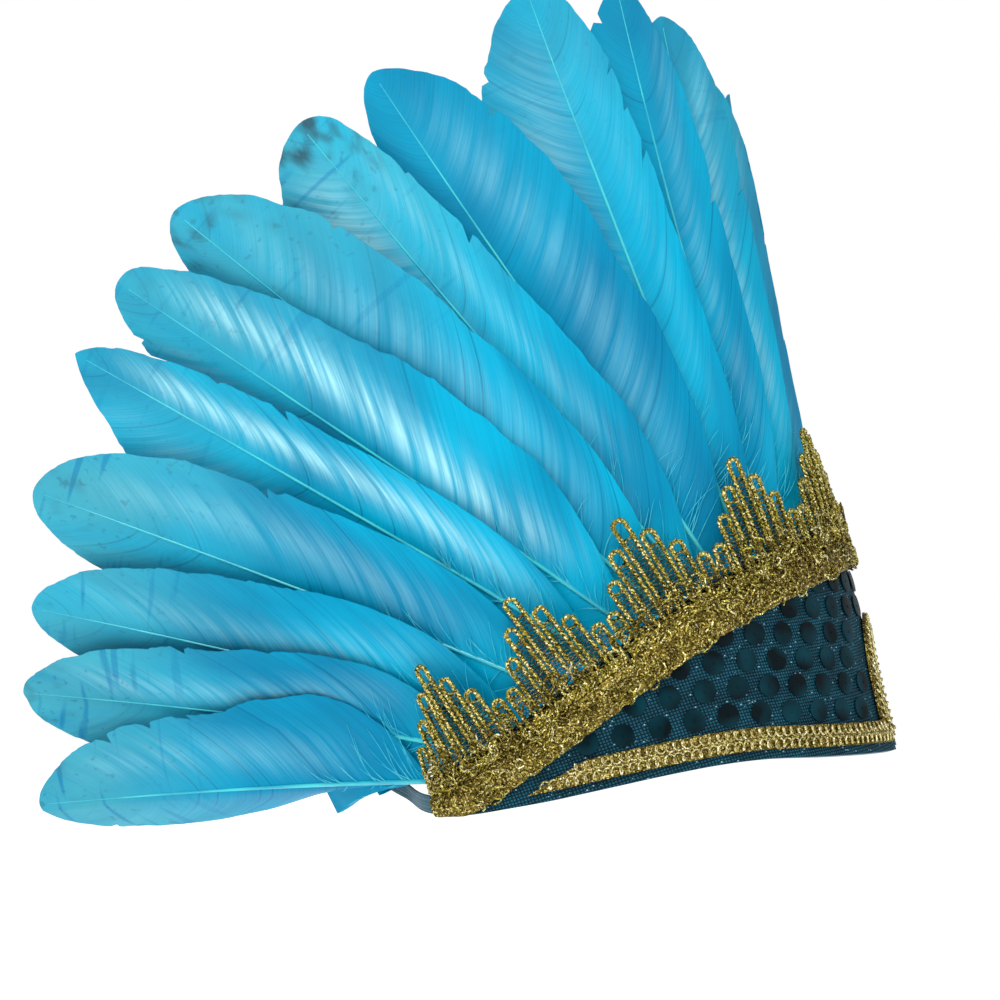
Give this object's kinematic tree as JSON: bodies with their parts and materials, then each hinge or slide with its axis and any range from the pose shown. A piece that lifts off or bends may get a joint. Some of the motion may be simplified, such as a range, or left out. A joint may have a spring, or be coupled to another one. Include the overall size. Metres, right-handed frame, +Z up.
{
  "type": "feathered headdress",
  "caption": "Carnival diadem headdress: curved sequinned cloth panel with an arched brow, gold braid and looped lace, a fan of broad turquoise feathers and a back elastic.",
  "frame": {"origin": "middle of the head opening, level with the panel's lower edge at the forehead, where it sits on the head", "axes": "+Z up, -Y the way the wearer faces, -X the wearer's right"},
  "size_m": [0.2078, 0.2773, 0.2653],
  "materials": {
    "sequin_cloth": "glitter mesh over stiff cloth",
    "gold_thread": "twisted metallic thread",
    "feather": "satin dyed feather",
    "elastic": "matte woven elastic"
  },
  "bodies": {
    "root": {"back_elastic": "elastic", "edge_braid": "gold_thread", "feather_crown_a_left": "feather", "feather_crown_a_right": "feather", "feather_crown_b_left": "feather", "feather_crown_b_right": "feather", "feather_crown_c_left": "feather", "feather_crown_c_right": "feather", "feather_ear_a_left": "feather", "feather_ear_a_right": "feather", "feather_ear_b_left": "feather", "feather_ear_b_right": "feather", "feather_fore_a_left": "feather", "feather_fore_a_right": "feather", "feather_fore_b_left": "feather", "feather_fore_b_right": "feather", "feather_front": "feather", "feather_side_a_left": "feather", "feather_side_a_right": "feather", "feather_side_b_left": "feather", "feather_side_b_right": "feather", "feather_side_c_left": "feather", "feather_side_c_right": "feather", "feather_temple_a_left": "feather", "feather_temple_a_right": "feather", "feather_temple_b_left": "feather", "feather_temple_b_right": "feather", "feather_temple_c_left": "feather", "feather_temple_c_right": "feather", "front_panel": "sequin_cloth", "lace_scallop_1": "gold_thread", "lace_scallop_10": "gold_thread", "lace_scallop_2": "gold_thread", "lace_scallop_3": "gold_thread", "lace_scallop_4": "gold_thread", "lace_scallop_5": "gold_thread", "lace_scallop_6": "gold_thread", "lace_scallop_7": "gold_thread", "lace_scallop_8": "gold_thread", "lace_scallop_9": "gold_thread", "tinsel_heading": "gold_thread"}
  },
  "joints": []
}
